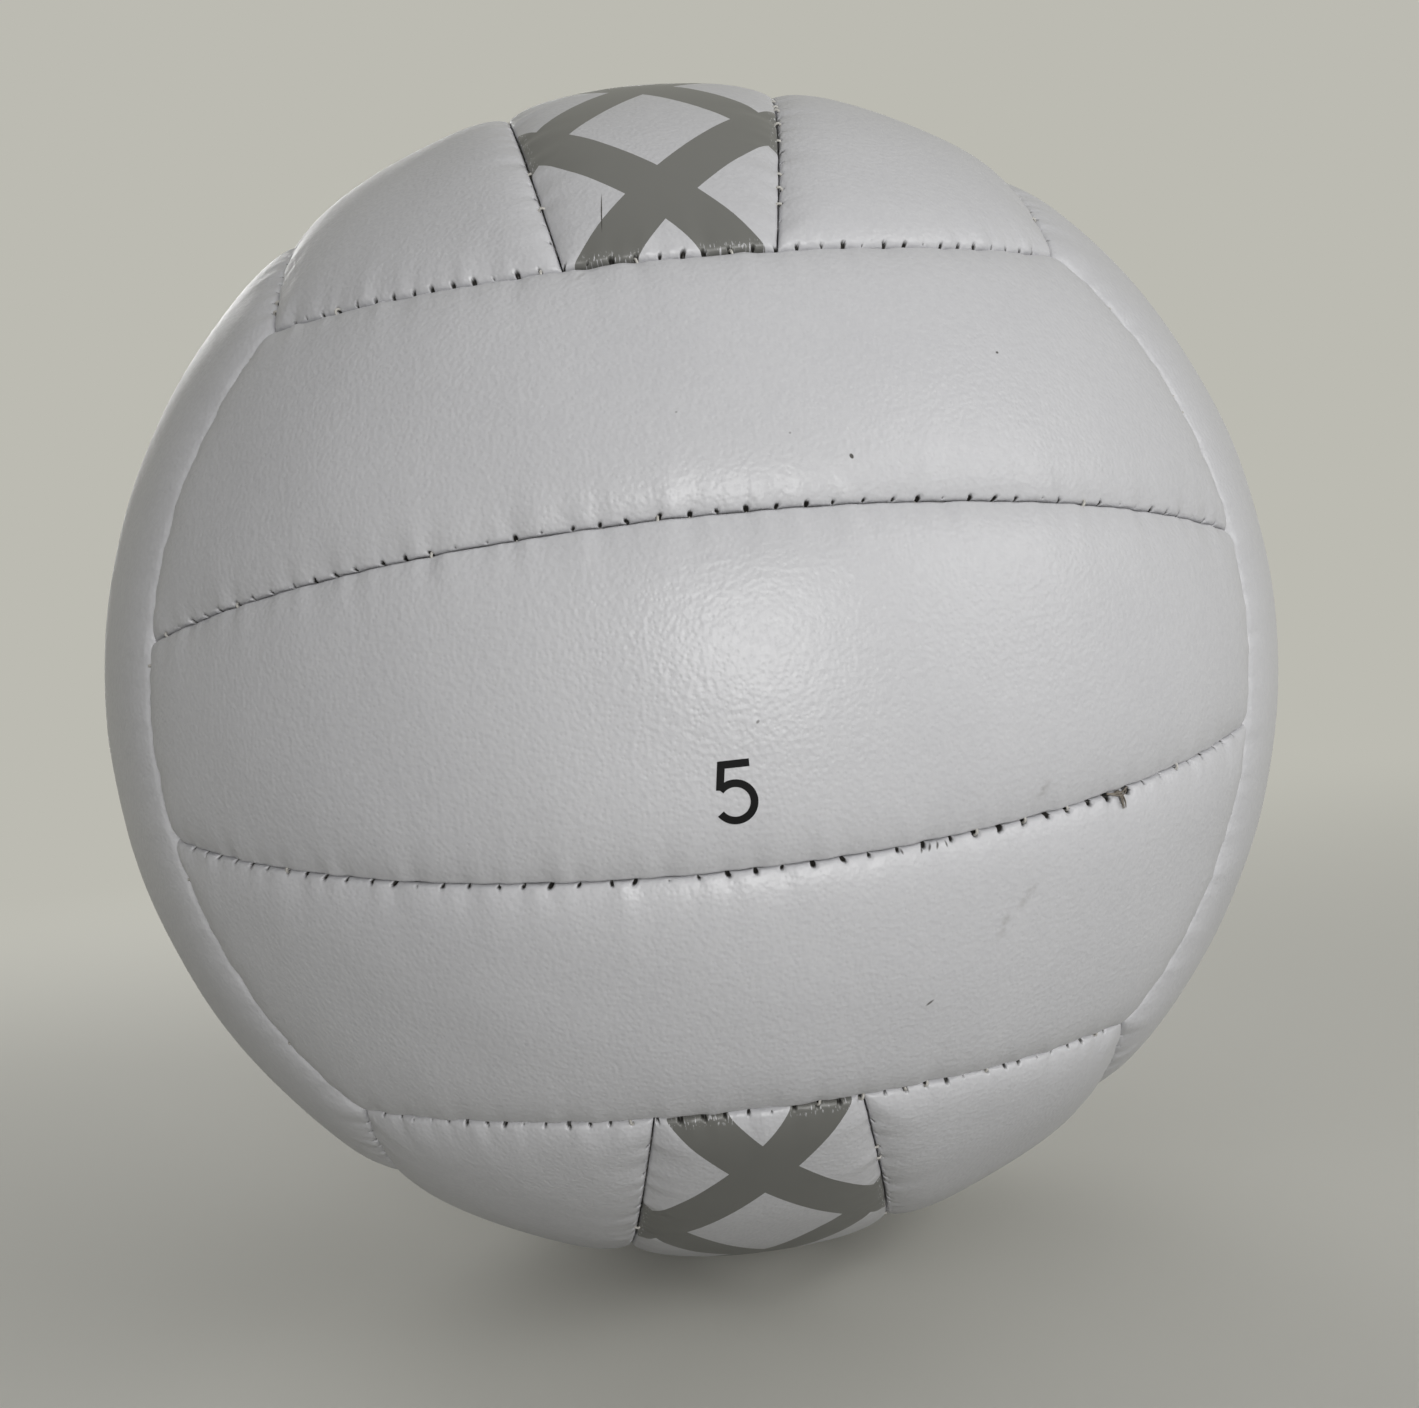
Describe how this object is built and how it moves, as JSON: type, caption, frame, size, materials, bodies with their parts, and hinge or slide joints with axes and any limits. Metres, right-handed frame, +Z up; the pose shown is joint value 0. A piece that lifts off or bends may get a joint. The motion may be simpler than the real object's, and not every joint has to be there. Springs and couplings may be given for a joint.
{
  "type": "volleyball",
  "caption": "Stitched indoor volleyball: leather strip panels on foam backing, sewn round a rubber bladder with a needle valve.",
  "frame": {"origin": "centre of the ball", "axes": "-Y towards the front face, whose strips run along X; +Y out of the valve; +Z up, +X right"},
  "size_m": [0.21, 0.2098, 0.21],
  "materials": {
    "white_leather": "matt, fine wrinkle grain",
    "printed_leather": "matt, with grey printed bands",
    "foam_backing": "foam bonded to cloth",
    "thread": "waxed polyester",
    "bladder_rubber": "butyl",
    "valve_rubber": "moulded",
    "core_rubber": "moulded",
    "patch_cloth": "woven"
  },
  "bodies": {
    "ball": {"front_upper_panel": "white_leather", "front_middle_panel": "white_leather", "front_lower_panel": "white_leather", "back_upper_panel": "white_leather", "back_middle_panel": "white_leather", "back_lower_panel": "white_leather", "left_rear_panel": "white_leather", "left_middle_panel": "white_leather", "left_front_panel": "white_leather", "right_front_panel": "white_leather", "right_middle_panel": "white_leather", "right_rear_panel": "white_leather", "bottom_right_panel": "white_leather", "bottom_middle_panel": "printed_leather", "bottom_left_panel": "white_leather", "top_right_panel": "white_leather", "top_middle_panel": "printed_leather", "top_left_panel": "white_leather", "front_upper_backing": "foam_backing", "front_middle_backing": "foam_backing", "front_lower_backing": "foam_backing", "back_upper_backing": "foam_backing", "back_middle_backing": "foam_backing", "back_lower_backing": "foam_backing", "left_rear_backing": "foam_backing", "left_middle_backing": "foam_backing", "left_front_backing": "foam_backing", "right_front_backing": "foam_backing", "right_middle_backing": "foam_backing", "right_rear_backing": "foam_backing", "bottom_right_backing": "foam_backing", "bottom_middle_backing": "foam_backing", "bottom_left_backing": "foam_backing", "top_right_backing": "foam_backing", "top_middle_backing": "foam_backing", "top_left_backing": "foam_backing", "front_strip_stitching": "thread", "back_strip_stitching": "thread", "left_strip_stitching": "thread", "right_strip_stitching": "thread", "bottom_strip_stitching": "thread", "top_strip_stitching": "thread", "front_end_stitching": "thread", "back_end_stitching": "thread", "left_end_stitching": "thread", "right_end_stitching": "thread", "bottom_end_stitching": "thread", "top_end_stitching": "thread", "bladder": "bladder_rubber", "valve_housing": "valve_rubber", "valve_patch": "patch_cloth"},
    "valve_core": {"valve_core": "core_rubber"}
  },
  "joints": [
    {"name": "valve_core_pull", "type": "slide", "parent": "ball", "child": "valve_core", "axis": [0, 1, 0], "range_m": [0, 0.02]}
  ]
}
